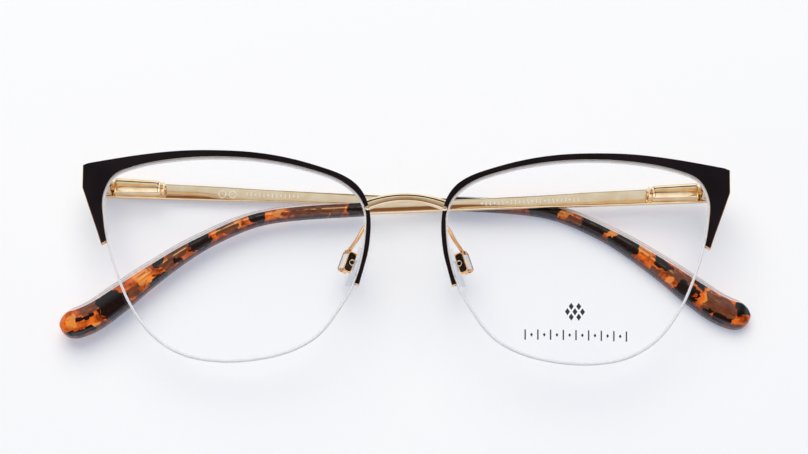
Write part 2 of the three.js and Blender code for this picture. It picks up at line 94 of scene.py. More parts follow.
WING_EDGE = [(64.25, -7.9), (62.4, -12.8), (61.55, -15.2)]

LENS_THICKNESS = 1.8
RIM_THICKNESS = 1.7
RIM_SET_BACK = 0.05
RIM_GAP = 0.06
GROOVE_MIDDLE = -0.92

BAR_OUTER = -3.2
BAR_INNER = -2.1
BAR_EDGE = 0.18
BAR_HEIGHTS = [(-1, 3.6), (14, 3.35), (24, 3.15), (34, 2.7), (52, 2.35), (70.7, 2.2)]
TIP_START = 70.8
TIP_OUTER = -3.95
TIP_LINE = [
    (TIP_START, 0.1), (84, -0.1), (91, -0.7), (96.4, -2.1), (106, -6.5),
    (115.7, -12.8), (122, -17.5), (126.6, -20.6), (130, -21.9), (133.3, -22.2),
]
TIP_THICKNESS = [(0, 2.4), (40, 2.7), (67, 2.8)]
TIP_HEIGHTS = [(0, 2.8), (20, 3.0), (34, 3.5), (45, 4.6), (55, 5.9), (62, 6.4), (70, 6.5)]
TIP_END_RADIUS = 3.6

# The cord runs between two stations of the lens edge. Prints are thin plates on a surface.
CORD_STATIONS = (41.05 * 4, 72.95 * 4)
CORD_RADIUS = 0.265
CORD_INSET = 0.08
PRINT_HALF = 0.012
PRINT_LIFT = 0.03
ORNAMENT = (
    (-1.5, 0), (0, 0), (1.5, 0), (-0.75, 1.05), (0.75, 1.05), (-0.75, -1.05), (0.75, -1.05),
)


# ----- places
def place(x=0, y=0, z=0, rx=0, ry=0, rz=0):
    turn = Matrix.Rotation(rz, 4, "Z") @ Matrix.Rotation(ry, 4, "Y") @ Matrix.Rotation(rx, 4, "X")
    return Matrix.Translation((x, y, z)) @ turn


def row_frame():
    """The glasses' own frame in the row frame: turned about the right hinge pin."""
    droop, turn = (math.radians(a) for a in FOLD["right"])
    rotation = Matrix.Rotation(-turn, 4, Vector((math.sin(droop), math.cos(droop), 0)))
    pin = next(j["pos_m"] for j in frame["joints"] if j["name"] == "temple_fold_right")
    offset = Vector(pin) / MM - rotation @ Vector((-PIN_X, 0, 0))
    return Matrix.Translation(offset) @ rotation


GLASSES = row_frame()
FRONT, FOLDED, PAD = {}, {}, {}
for side in SIDES:
    half = GLASSES @ Matrix.Diagonal((1 if side == "right" else -1, 1, 1, 1))
    droop, turn = (math.radians(a) for a in FOLD[side])
    FRONT[side] = half @ place(z=FRONT_ABOVE_PIN, rx=PANTOSCOPIC_TILT)
    FOLDED[side] = half @ place(x=-PIN_X, rz=-droop) @ place(ry=turn)
    PAD[side] = FRONT[side] @ place(*PAD_PLACE, ry=PAD_SPLAY, rz=-PAD_LEAN)


# ----- curves
def front_height(x, y):
    across = np.abs(x) - CROWN[0]
    up = y - CROWN[1]
    return CROWN[2] - (across**2 + up**2) / (2 * BASE_RADIUS) - WRAP_SLOPE * across


def value_at(table, position):
    return np.interp(position, [a for a, _ in table], [b for _, b in table])


def spline(points, closed=False, per=12):
    """Centripetal Catmull-Rom through the points, with `per` samples to a span."""
    p = np.asarray(points, float)
    n = len(p)
    made = []
    for i in range(n if closed else n - 1):
        b, c = p[i], p[(i + 1) % n]
        a = p[i - 1] if closed or i > 0 else 2 * b - c
        d = p[(i + 2) % n] if closed or i + 2 < n else 2 * c - b
        ab, bc, cd = (max(np.linalg.norm(v - u), 1e-9) ** 0.5 for u, v in ((a, b), (b, c), (c, d)))
        start = ((b - a) / ab - (c - a) / (ab + bc) + (c - b) / bc) * bc
        end = ((c - b) / bc - (d - b) / (bc + cd) + (d - c) / cd) * bc
        for k in range(per):
            t = k / per
            made.append(
                (2 * t**3 - 3 * t * t + 1) * b + (t**3 - 2 * t * t + t) * start
                + (3 * t * t - 2 * t**3) * c + (t**3 - t * t) * end
            )
    if not closed:
        made.append(p[-1])
    return np.array(made)


def eased(points, closed, rounds):
    """The points with small kinks evened out; open ends stay where they are."""
    p = np.array(points, float)
    for _ in range(rounds):
        q = 0.25 * np.roll(p, 1, 0) + 0.5 * p + 0.25 * np.roll(p, -1, 0)
        if not closed:
            q[0], q[-1] = p[0], p[-1]
        p = q
    return p


def arc_lengths(points):
    steps = np.linalg.norm(np.diff(points, axis=0), axis=1)
    return np.concatenate([[0], np.cumsum(steps)])


def frames_along(points):
    """Tangent, and two directions square to it that do not twist, for each point of a 3-D path."""
    tangents = np.gradient(points, axis=0)
    tangents /= np.linalg.norm(tangents, axis=1)[:, None]
    normal = np.cross(tangents[0], (0.3, 0.2, 0.93))
    normals = []
    for t in tangents:
        normal = normal - t * (normal @ t)
        normal /= np.linalg.norm(normal)
        normals.append(normal)
    normals = np.array(normals)
    return tangents, normals, np.cross(tangents, normals)


def full_turn(sides):
    return np.linspace(0, TAU, sides, endpoint=False)


def circle(a, b, sides):
    """A full turn of points from direction a through direction b."""
    angles = full_turn(sides)[:, None]
    return np.cos(angles) * a + np.sin(angles) * b


def mirrored(points):
    return [(-x, y) for x, y in points]


def quarter(cx, cy, radius, start, steps=3):
    """Points of a quarter turn about (cx, cy), anticlockwise from the start angle in degrees."""
    angles = np.radians(start + np.linspace(0, 90, steps + 1))
    return [(cx + radius * math.cos(a), cy + radius * math.sin(a)) for a in angles]


def rounded(half_a, half_b, corner, steps=4):
    a, b = half_a - corner, half_b - corner
    return (
        quarter(a, b, corner, 0, steps) + quarter(-a, b, corner, 90, steps)
        + quarter(-a, -b, corner, 180, steps) + quarter(a, -b, corner, 270, steps)
    )


# ----- meshes
class Shape:
    """Points and faces of one piece, with a material number for each face."""

    def __init__(self):
        self.points, self.faces, self.kinds = [], [], []
        self.count = 0

    def loft(self, rings, kind=0, closed=False, cap_kind=None):
        """Skin through rings, capped unless closed. kind is a number or a [span][segment] table."""
        rings = np.asarray(rings, float)
        rows, cols = rings.shape[:2]
        faces, kinds = [], []
        for i in range(rows if closed else rows - 1):
            below = (i + 1) % rows
            for j in range(cols):
                k = (j + 1) % cols
                faces.append((i * cols + j, i * cols + k, below * cols + k, below * cols + j))
                kinds.append(kind if np.isscalar(kind) else kind[i][j])
        points = list(rings.reshape(-1, 3))
        for end in () if closed else (0, rows - 1):
            points.append(rings[end].mean(0))
            centre = len(points) - 1
            for j in range(cols):
                faces.append((end * cols + j, end * cols + (j + 1) % cols, centre))
                kinds.append(kinds[0] if cap_kind is None else cap_kind)
        self.faces += [tuple(i + self.count for i in f) for f in faces]
        self.kinds += kinds
        self.points.append(np.array(points))
        self.count += len(points)
        return self

    def tube(self, path, radius, sides):
        """A round tube along a path, with one radius or one for each point."""
        path = np.asarray(path, float)
        _, across, up = frames_along(path)
        radii = np.broadcast_to(radius, len(path))
        return self.loft([
            p + r * circle(a, b, sides) for p, r, a, b in zip(path, radii, across, up)
        ])

    def turned(self, profile, origin, axis, sides, kind=0):
        """A profile of (radius, height) pairs turned about an axis of unit length."""
        origin, axis = np.asarray(origin), np.asarray(axis, float)
        side_way = np.cross(axis, (0.31, 0.87, 0.38))
        side_way /= np.linalg.norm(side_way)
        round_axis = circle(side_way, np.cross(axis, side_way), sides)
        rings = [origin + axis * h + round_axis * max(r, 1e-4) for r, h in profile]
        return self.loft(rings, kind)


def linked(name, data):
    made = bpy.data.objects.new(name, data)
    bpy.context.scene.collection.objects.link(made)
    return made


def build(
    node_name, suffix, shape, matrix, looks, body="front", replacing=True, crease=38, bevel=0,
):
    """Makes the piece that stands for a CAD node, or a second one beside it, in the row frame."""
    name = f"{node_name}_{suffix}"
    mesh = bpy.data.meshes.new(name)
    points = np.concatenate(shape.points)
    at = np.array(matrix)
    points = (points @ at[:3, :3].T + at[:3, 3]) * MM
    mesh.from_pydata(points.tolist(), [], shape.faces)
    mesh.polygons.foreach_set("material_index", shape.kinds)
    bm = bmesh.new()
    bm.from_mesh(mesh)
    bmesh.ops.remove_doubles(bm, verts=bm.verts, dist=WELD)
    bmesh.ops.dissolve_degenerate(bm, edges=bm.edges, dist=WELD / 2)
    bmesh.ops.recalc_face_normals(bm, faces=bm.faces)
    bm.to_mesh(mesh)
    bm.free()
    replaces = node_name if replacing else None
    return finish_piece(name, mesh, body, looks, replaces, crease, bevel)


def finish_piece(name, mesh, body, looks, replaces, crease, bevel, segments=3):
    """Links the mesh as a piece: materials, sharp edges, bevel, body and replaced node."""
    for look in looks:
        mesh.materials.append(look)
    mesh.shade_smooth()
    mesh.set_sharp_from_angle(angle=math.radians(crease))
    piece = linked(name, mesh)
    if bevel:
        modifier = piece.modifiers.new("edge", "BEVEL")
        modifier.width = bevel * MM
        modifier.segments = segments
        modifier.limit_method = "ANGLE"
        modifier.angle_limit = BEVEL_FROM
    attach(piece, body)
    if replaces:
        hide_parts(replaces)
    return piece


def eased_copy(node, body, looks, bevel, segments=2):
    """A CAD part's own shape with its flat facets merged and its edges broken."""
    bm = bmesh.new()
    bm.from_mesh(frame["nodes"][node].data)
    bmesh.ops.remove_doubles(bm, verts=bm.verts, dist=CAD_WELD)
    bmesh.ops.dissolve_limit(bm, angle_limit=CAD_FLAT, verts=bm.verts, edges=bm.edges)
    bmesh.ops.recalc_face_normals(bm, faces=bm.faces)
    for face in bm.faces:
        face.material_index = 0
    mesh = bpy.data.meshes.new(node + "_eased")
    bm.to_mesh(mesh)
    bm.free()
    return finish_piece(node + "_eased", mesh, body, looks, node, 30, bevel, segments)


# ----- materials
def new_look(name):
    look = bpy.data.materials.new(name)
    look.use_nodes = True
    look.node_tree.nodes.clear()
    return look, look.node_tree


def node(tree, kind, inputs=None, **settings):
    """Adds a shader node. A socket in inputs is linked, anything else becomes its value."""
    made = tree.nodes.new("ShaderNode" + kind)
    for key, value in settings.items():
        setattr(made, key, value)
    for key, value in (inputs or {}).items():
        if isinstance(value, bpy.types.NodeSocket):
            tree.links.new(value, made.inputs[key])
        else:
            made.inputs[key].default_value = value
    return made


def maths(tree, operation, *values):
    return node(tree, "Math", dict(enumerate(values)), operation=operation).outputs[0]


def vectors(tree, operation, *values):
    return node(tree, "VectorMath", dict(enumerate(values)), operation=operation).outputs[0]


def surface(tree, shader):
    node(tree, "OutputMaterial", {"Surface": shader})


def principled(tree, inputs):
    surface(tree, node(tree, "BsdfPrincipled", inputs).outputs[0])


def srgb(red, green, blue):
    """A display colour of 0 to 255 as the shader's linear colour."""
    shares = (c / 255 for c in (red, green, blue))
    return (*(((c + 0.055) / 1.055) ** 2.4 if c > 10 / 255 else c / 12.92 for c in shares), 1)


def millimetres(tree, stretch=(1, 1, 1)):
    """Object coordinates in millimetres, stretched for grain that runs one way."""
    place_node = node(tree, "TexCoord").outputs["Object"]
    return vectors(tree, "MULTIPLY", place_node, tuple(s / MM for s in stretch))


def noise(tree, where, scale, detail=2.0, rough=0.5, output=0):
    settings = {"Vector": where, "Scale": scale, "Detail": detail, "Roughness": rough}
    return node(tree, "TexNoise", settings).outputs[output]


def remap(tree, value, low, high, to_low=0.0, to_high=1.0):
    inputs = dict(enumerate((value, low, high, to_low, to_high)))
    return node(tree, "MapRange", inputs, clamp=True).outputs[0]


def blended(tree, share, first, second):
    return node(tree, "Mix", {0: share, 6: first, 7: second}, data_type="RGBA").outputs[2]


def over(tree, base, value, span, colour):
    """The colour laid over the base where the value, remapped by span, says so."""
    return blended(tree, remap(tree, value, *span), base, colour)


def bumped(tree, height, strength, distance):
    inputs = {"Height": height, "Strength": strength, "Distance": distance * MM}
    return node(tree, "Bump", inputs).outputs[0]


def metal(name, tone, worn, smooth, rough, grain=(1, 1, 1), grain_scale=6.0, strength=0.12):
    """Metal whose tone and polish drift a little, with a fine grain."""
    look, tree = new_look(name)
    at = millimetres(tree)
    cloud = noise(tree, at, 0.35, 3)
    fine = noise(tree, millimetres(tree, grain), grain_scale, 2)
    tint = over(tree, tone, cloud, (0.35, 0.7), worn)
    polish = remap(tree, fine, 0.3, 0.7, smooth, rough)
    principled(tree, {
        "Base Color": tint, "Metallic": 1.0, "Roughness": polish,
        "Normal": bumped(tree, fine, strength, 0.01),
    })
    return look


def lacquer(name):
    """Satin black-brown enamel with a faint orange-peel and dusty lighter patches."""
    look, tree = new_look(name)
    at = millimetres(tree)
    cloud = noise(tree, at, 0.12, 3)
    peel = noise(tree, at, 5.0, 2)
    tint = over(tree, srgb(14, 8, 12), cloud, (0.35, 0.68), srgb(25, 18, 23))
    principled(tree, {
        "Base Color": tint, "Roughness": remap(tree, peel, 0.3, 0.7, 0.48, 0.6),
        "Specular IOR Level": 0.1, "Normal": bumped(tree, peel, 0.2, 0.012),
    })
    return look


def see_through(name, tint, body_tone, body, gloss, polish, edge_ior):
    """Clear material: a little body colour, and a gloss that grows at the edge."""
    look, tree = new_look(name)
    cloud = noise(tree, millimetres(tree), 0.5, 2)
    clear = node(tree, "BsdfTransparent", {"Color": tint}).outputs[0]
    solid = node(tree, "BsdfPrincipled", {
        "Base Color": over(tree, body_tone, cloud, (0, 1, 0, 0.3), tint),
        "Roughness": 0.4, "Specular IOR Level": 0.3,
    }).outputs[0]
    solidity = remap(tree, cloud, 0.3, 0.7, body * 0.96, body * 1.04)
    milky = node(tree, "MixShader", {0: solidity, 1: clear, 2: solid}).outputs[0]
    shine = node(tree, "BsdfAnisotropic", {"Color": (1, 1, 1, 1), "Roughness": polish}).outputs[0]
    share = maths(tree, "MULTIPLY", node(tree, "Fresnel", {"IOR": edge_ior}).outputs[0], gloss)
    surface(tree, node(tree, "MixShader", {0: share, 1: milky, 2: shine}).outputs[0])
    return look


def paint(name, tone, other):
    """Printing ink with a fine speckle."""
    look, tree = new_look(name)
    speckle = noise(tree, millimetres(tree), 9.0, 2)
    principled(tree, {
        "Base Color": blended(tree, speckle, tone, other), "Roughness": 0.5,
        "Normal": bumped(tree, speckle, 0.2, 0.01),
    })
    return look


def patch_field(tree, plan, patches):
    """Distance field of square-shouldered chips: below 1 inside any of them."""
    nearest = None
    for s, v, reach_s, reach_v in patches:
        scale, offset = (1 / reach_s, 1 / reach_v, 0), (-s / reach_s, -v / reach_v, 0)
        scaled = vectors(tree, "MULTIPLY_ADD", plan, scale, offset)
        squared = vectors(tree, "MULTIPLY", scaled, scaled)
        reach = node(tree, "VectorMath", {0: squared}, operation="LENGTH").outputs["Value"]
        nearest = reach if nearest is None else maths(tree, "MINIMUM", nearest, reach)
    return nearest


def chipped(tree, plan, shifted, chips):
    """The plan pushed about by a soft noise and by two sizes of cell, for ragged chip edges."""
    warped = plan
    for push, reach in (
        (noise(tree, shifted, 0.55, 2, 0.5, output=1), (2.6, 1.8, 0)),
        (chips, (1.0, 0.8, 0)),
        (cells(tree, shifted, 1.0), (0.25, 0.2, 0)),
    ):
        centred = vectors(tree, "ADD", push, (-0.5, -0.5, -0.5))
        warped = vectors(tree, "MULTIPLY_ADD", centred, reach, warped)
    return warped


def cells(tree, where, scale):
    return node(tree, "TexVoronoi", {"Vector": where, "Scale": scale}).outputs["Color"]


def wire_highlight_and_shade_lines(tree, tone, along, height, shown):
    """The core wire seen through the amber, drawn with painted light: one bright line of painted highlight along
    it, and one dark and one faint line of painted shade beside it.
    """
    before_end = remap(tree, along, 49, 50.5, 1, 0)
    shown = maths(tree, "MULTIPLY", shown, before_end)
    # From the top of the tip down: painted shade, painted highlight, fainter painted shade.
    for middle, breadth, strength, line_tone in (
        (0.62, 0.16, 0.7, srgb(20, 10, 8)),
        (0.1, 0.12, 0.75, srgb(255, 206, 120)),
        (-0.35, 0.1, 0.5, srgb(40, 16, 8)),
    ):
        away = maths(tree, "ABSOLUTE", maths(tree, "ADD", height, -middle))
        share = remap(tree, away, breadth * 0.6, breadth, strength, 0)
        tone = blended(tree, maths(tree, "MULTIPLY", share, shown), tone, line_tone)
    return tone


def clear_skin_painted_light(tree, tone, along, height, half, grain):
    """The clear layer along the top edge, in painted light: its pale tones stand for the bright surroundings seen
    through it and reflected on its rounded edge. A thin line runs inside it and the very top is darker.
    """
    below_top = maths(tree, "SUBTRACT", half, height)
    depth = remap(tree, along, 4, 34, 0.34, 1.12)
    depth = maths(tree, "SUBTRACT", depth, remap(tree, along, 54, 67, 0, 0.5))
    inside = maths(tree, "SUBTRACT", below_top, depth)
    # Painted light: pale tones for the bright surroundings seen through the clear layer and reflected on its
    # rounded edge.
    clear = over(tree, srgb(214, 212, 222), grain, (0.3, 0.7), srgb(238, 236, 240))
    clear = over(tree, clear, below_top, (0.16, 0.34, 0.9, 0), srgb(84, 78, 88))
    line = maths(tree, "ABSOLUTE", maths(tree, "ADD", inside, 0.34))
    clear = over(tree, clear, line, (0.03, 0.1, 0.55, 0), srgb(128, 120, 124))
    faced = remap(tree, below_top, 0.02, 0.1, 0.35, 1)
    faced = maths(tree, "MULTIPLY", faced, remap(tree, inside, -0.06, 0.04, 0.9, 0))
    return blended(tree, faced, tone, clear)


def tortoise(name, black, brown, bright, seed):
    """Amber acetate with black and brown chips laid out along the tip, a clear skin on top in painted light, and
    painted shade along its lower edge.
    """
    look, tree = new_look(name)
    plan = node(tree, "Attribute", attribute_name="plan").outputs["Vector"]
    shifted = vectors(tree, "ADD", plan, (seed, 0, 0))
    chips = cells(tree, shifted, 0.45)
    warped = chipped(tree, plan, shifted, chips)
    shade = node(tree, "SeparateColor", {0: chips}).outputs[0]
    smoke = noise(tree, shifted, 0.42, 3, 0.55)
    grain = noise(tree, shifted, 1.7, 2, 0.5)
    streak = noise(tree, vectors(tree, "MULTIPLY", shifted, (0.5, 2.2, 0)), 0.9, 3, 0.6)

    tone = over(tree, srgb(136, 46, 12), smoke, (0.4, 0.6), srgb(242, 112, 30))
    tone = over(tree, tone, grain, (0.5, 0.75, 0, 0.35), srgb(246, 134, 58))
    tone = over(tree, tone, shade, (0.76, 0.82, 0, 0.55), srgb(122, 44, 14))
    glow = patch_field(tree, warped, bright)
    tone = over(tree, tone, glow, (0.6, 1.15, 0.7, 0), srgb(255, 164, 80))
    bark = over(tree, srgb(78, 40, 28), streak, (0.35, 0.65), srgb(122, 74, 52))
    bark = over(tree, bark, streak, (0.62, 0.7, 0, 0.6), srgb(184, 126, 98))
    tone = over(tree, tone, patch_field(tree, warped, brown), (0.93, 1.05, 0.94, 0), bark)
    ink = over(tree, srgb(9, 5, 10), grain, (0.5, 0.8), srgb(34, 22, 24))
    dark_field = patch_field(tree, warped, black)
    tone = over(tree, tone, dark_field, (0.96, 1.05, 1, 0), ink)

    along, height, half = node(tree, "SeparateXYZ", {0: plan}).outputs
    off_black = remap(tree, dark_field, 1.0, 1.15, 0.12, 1)
    shown = maths(tree, "MULTIPLY", off_black, remap(tree, smoke, 0.44, 0.52))
    tone = wire_highlight_and_shade_lines(tree, tone, along, height, shown)
    tone = clear_skin_painted_light(tree, tone, along, height, half, grain)
    # Painted shade: a dark band along the lower edge, where the tip's lower side is in shade.
    above_foot = maths(tree, "ADD", half, height)
    tone = over(tree, tone, above_foot, (0.16, 0.42, 0.8, 0), srgb(46, 28, 40))
    principled(tree, {
        "Base Color": tone, "Roughness": remap(tree, grain, 0.2, 0.8, 0.2, 0.34),
        "Specular IOR Level": 0.05,
        "Coat Weight": 0.9, "Coat Roughness": 0.03, "Coat IOR": 1.5,
        "Normal": bumped(tree, smoke, 0.05, 0.05),
    })
    return look


GOLD, GOLD_SATIN, GOLD_DEEP, STEEL, SPRING, SHADE = (
    metal(name, srgb(*tone), srgb(*worn), *numbers)
    for name, tone, worn, *numbers in (
        ("gold", (240, 218, 182), (226, 194, 150), 0.03, 0.07, (0.2, 1, 1), 5.0, 0.03),
        ("gold_satin", (236, 214, 180), (228, 200, 160), 0.05, 0.1, (0.15, 1.6, 1.6), 6.0, 0.03),
        ("gold_deep", (228, 182, 132), (196, 144, 98), 0.03, 0.08, (1, 1, 1), 3.0, 0.08),
        ("steel", (206, 204, 200), (178, 174, 168), 0.2, 0.34),
        ("spring_steel", (160, 162, 166), (128, 128, 130), 0.25, 0.4),
        # Painted shade: dark metal laid where recesses and slots are in shade.
        ("shadowed_recess", (40, 34, 30), (22, 19, 18), 0.45, 0.6),
    )
)
LACQUER = lacquer("lacquer")
CLEAR, FROSTED, NYLON, SILICONE, BOX_BACK, CLEAR_CORE = (
    see_through(name, srgb(*tint), srgb(*tone), *numbers)
    for name, tint, tone, *numbers in (
        ("clear_lens", (254.5, 254.6, 255), (250, 250, 252), 0.001, 0.12, 0.02, 1.3),
        ("frosted_edge", (253, 253, 255), (252, 253, 255), 0.12, 0.2, 0.15, 1.5),
        ("nylon", (253, 253, 255), (253, 253, 255), 0.92, 0.1, 0.25, 1.4),
        ("silicone", (254, 254, 254.5), (240, 242, 246), 0.012, 0.1, 0.15, 1.35),
        ("box_back", (250, 251, 253), (246, 246, 248), 0.86, 0.5, 0.08, 1.5),
        ("clear_core", (252, 253, 254), (206, 210, 214), 0.04, 0.14, 0.12, 1.4),
    )
)
DARK_PRINT = paint("dark_print", srgb(30, 28, 34), srgb(52, 48, 56))
WHITE_PRINT = paint("white_print", srgb(246, 244, 240), srgb(228, 226, 222))
TORTOISE = {
    "left": tortoise("tortoise_left", [
        (1.2, 0, 2.0, 1.6), (22, 0, 1.7, 1.6), (35, -0.1, 2.6, 1.6), (40.9, -1.4, 1.2, 0.5),
        (44.5, 0.6, 1.3, 1.2), (46.7, -2.05, 2.2, 0.8), (50.1, -2.8, 1.2, 0.5),
        (57, -0.6, 3.0, 2.8), (62.9, 0, 1.9, 0.45), (64.6, -2.7, 2.3, 0.6),
    ], [
        (7.7, 0, 3.9, 1.6), (13.2, -0.3, 2.2, 1.6), (28.8, 0, 2.2, 1.6), (40.1, 0.3, 2.3, 1.3),
        (42.7, -1.1, 1.9, 0.8), (52.5, -1.4, 1.7, 1.2), (61, 1.5, 2.3, 1.1),
        (57.4, -2.35, 1.1, 0.6),
    ], [
        (17.8, 0, 1.6, 1.2), (26.4, 0, 1.2, 1.2), (48.8, 0, 1.8, 1.5), (62.1, -2.5, 1.3, 0.8),
        (65.4, 0, 1.2, 1.5),
    ], 0),
    "right": tortoise("tortoise_right", [
        (2, 0, 7, 1.6), (20, 0, 3.4, 1.8), (30.7, -0.6, 2.9, 1.9), (38.4, -0.6, 3.0, 2.2),
        (47.1, 0.6, 2.2, 1.1), (54.6, -1.5, 2.2, 1.8), (55.6, 1.6, 1.8, 0.8), (66.8, 1.0, 1.7, 1.6),
        (63.7, -2.6, 1.7, 0.8), (60.4, -2.4, 1.3, 0.6),
    ], [
        (27, -1, 2.2, 1.2), (51.8, 0.3, 2.5, 1.5), (61.6, -0.2, 3.6, 2.2), (46.6, -2.0, 1.2, 1.0),
    ], [
        (12, 0, 1.6, 1.2), (24.7, 0, 1.2, 1.2), (34.7, 0, 1.0, 1.4), (41.8, 0.7, 2.5, 0.9),
        (50.4, -2.0, 1.0, 0.8), (58.4, 0, 1.0, 1.8),
    ], 40),
}


# ----- front
PER = 12
LENS_EDGE = eased(spline(mirrored(LENS_OUTLINE), closed=True, per=PER), True, 3)
LENS_CENTRE = np.array((-35, -18.6))
RIM_END = 14 * PER - 1


def lens_edge(at):
    """Point and outward direction of the lens edge at a (fractional) station."""
    count = len(LENS_EDGE)
    i = int(at)
    share = at - i
    p = LENS_EDGE[i % count] * (1 - share) + LENS_EDGE[(i + 1) % count] * share
    run = LENS_EDGE[(i + 2) % count] - LENS_EDGE[(i - 1) % count]
    run = run / np.linalg.norm(run)
    return p, np.array((run[1], -run[0]))


def brow_line():
    """The rim's outer edge as one line, with the places of its two sharp corners along it."""
    brow = eased(spline(mirrored([RIM_NASAL_END] + BROW_EDGE), per=PER), False, 3)
    wing = spline(mirrored([WING_CORNERS[1]] + WING_EDGE), per=PER)
    line = np.concatenate([brow, mirrored(WING_CORNERS), wing[1:]])
    at = arc_lengths(line)
    return line, at, (at[len(brow)], at[len(brow) + 1])


def ray_hit(origin, way, line, at):
    """Where a ray from origin crosses the line: its distance along the line, or None."""
    best = None
    a, b = line[:-1] - origin, line[1:] - origin
    side_a, side_b = (p[:, 0] * way[1] - p[:, 1] * way[0] for p in (a, b))
    for i in np.nonzero(side_a * side_b <= 0)[0]:
        span = side_a[i] - side_b[i]
        share = side_a[i] / span if abs(span) > 1e-12 else 0
        reach = (a[i] + (b[i] - a[i]) * share) @ way
        if reach > 0 and (best is None or reach < best[0]):
            best = (reach, at[i] + share * (at[i + 1] - at[i]))
    return best and best[1]


def rim_stations():
    """Inner and outer points of the rim in plan, and which pairs lie past the first corner."""
    line, at, corners = brow_line()

    def far(station):
        p, way = lens_edge(station)
        found = ray_hit(p, way, line, at)
        if found is None:
            return 0 if station < RIM_END / 2 else at[-1]
        return found

    stations = list(np.arange(0, RIM_END + 0.5, 1.0))
    for corner in corners:
        for low, high in zip(stations, stations[1:]):
            if far(low) <= corner <= far(high):
                for _ in range(30):
                    middle = (low + high) / 2
                    low, high = (middle, high) if far(middle) < corner else (low, middle)
                stations.append(high)
                break
        stations.sort()
    made = []
    for station in stations:
        p, way = lens_edge(station)
        reach = far(station)
        reach = 0 if station == 0 else at[-1] if station == RIM_END else reach
        for corner in corners:
            reach = corner if abs(reach - corner) < 1e-4 else reach
        outer = np.array([np.interp(reach, at, line[:, k]) for k in range(2)])
        made.append((p + way * RIM_GAP, outer, reach >= corners[0] - 1e-6))
    return made


def rim_section(width, edge=0.14, back_edge=0.22):
    """Section of the rim, (distance from its inner side, height), from the front's lens side on."""
    middle, half, deep = GROOVE_MIDDLE + RIM_SET_BACK, 0.36, 0.36
    back = -RIM_THICKNESS
    front = [(edge + (width - 2 * edge) * k / 4, 0.0) for k in range(5)]
    crown = [(d, 0.05 * (1 - (2 * d / width - 1) ** 2) - 0.05) for d, _ in front]
    return crown + [
        (width - 0.3 * edge, -0.35 * edge), (width, -edge), (width, -0.6), (width, -1.1),
        (width, back + back_edge), (width - 0.3 * back_edge, back + 0.3 * back_edge),
        (width - back_edge, back), (width / 2, back), (edge, back),
        (0, back + edge), (0, middle - half), (deep, middle - half), (deep, middle + half),
        (0, middle + half), (0, -edge), (0.3 * edge, -0.35 * edge),
    ]


def rim(side):
    """Lacquered half rim with a gold edge past the wing's corner and bare gold at its ends."""
    rings, kinds = [], []
    for inner, outer, past_corner in rim_stations():
        across = outer - inner
        width = np.linalg.norm(across)
        ring = []
        for distance, height in rim_section(width):
            x, y = inner + across * distance / width
            ring.append((x, y, front_height(x, y) - RIM_SET_BACK + height))
        rings.append(ring)
        gold_edge = [1, 1] if past_corner else [0, 0]
        kinds.append([0] * 4 + gold_edge + [1] * 13 + [0, 0])
    rings = np.array(rings)
    ends = []
    for end, neighbour in ((0, 1), (-1, -2)):
        middle = rings[end].mean(0)
        way = middle - rings[neighbour].mean(0)
        ends.append(middle + (rings[end] - middle) * 0.93 + way / np.linalg.norm(way) * 0.05)
    rings = np.concatenate([[ends[0]], rings, [ends[1]]])
    kinds = [[2] * 21] + kinds[:-1] + [[2] * 21]
    shape = Shape().loft(rings, kinds, cap_kind=2)
    looks = [LACQUER, GOLD_SATIN, GOLD_DEEP]
    build(f"rim_{side}", "shell", shape, FRONT[side], looks, crease=30)


def lens_line(inwards, height, stations):
    """Points along the lens edge, moved inwards and raised from the front's curve."""
    line = []
    for station in stations:
        p, way = lens_edge(station)
        x, y = p - way * inwards
        line.append((x, y, front_height(x, y) + height))
    return line


def lens_face(share, height):
    plan = LENS_CENTRE + (LENS_EDGE - LENS_CENTRE) * share
    return np.column_stack([plan, front_height(plan[:, 0], plan[:, 1]) + height])


def mark(shape, outline, kind, lift):
    """A printed mark: a thin plate over an outline, at a height given by lift(x, y)."""
    rings = [[(x, y, lift(x, y) + up) for x, y in outline] for up in (-PRINT_HALF, PRINT_HALF)]
    shape.loft(rings, kind)


def lozenge(x, y, half_x, half_y):
    return [(x - half_x, y), (x, y - half_y), (x + half_x, y), (x, y + half_y)]


def bar_mark(x, y, half_x, half_y):
    left, right, low, high = x - half_x, x + half_x, y - half_y, y + half_y
    return [(left, low), (right, low), (right, high), (left, high)]


def ring_mark(shape, x, y, radius, width, kind, lift, sides=24):
    """A printed ring, laid as short plates."""
    for k in range(sides):
        a, b = (TAU * (k + t) / sides for t in (0, 1.02))
        corners = [(radius, a), (radius, b), (radius - width, b), (radius - width, a)]
        mark(shape, [(x + r * math.cos(t), y + r * math.sin(t)) for r, t in corners], kind, lift)


def lens_print(shape):
    """Plain ornament and a row of dashes, as a demonstration lens carries."""
    x, y = -33.7, -29.3
    for across, up in ORNAMENT:
        mark(shape, lozenge(x + across, y + up, 0.5, 0.72), 2, front_height)
    row_y = -33.9
    for k, at in enumerate(np.linspace(-44.0, -23.8, 17)):
        outline = lozenge(at, row_y, 0.28, 0.4) if k % 2 else bar_mark(at, row_y, 0.14, 1.0)
        mark(shape, outline, 2, front_height)


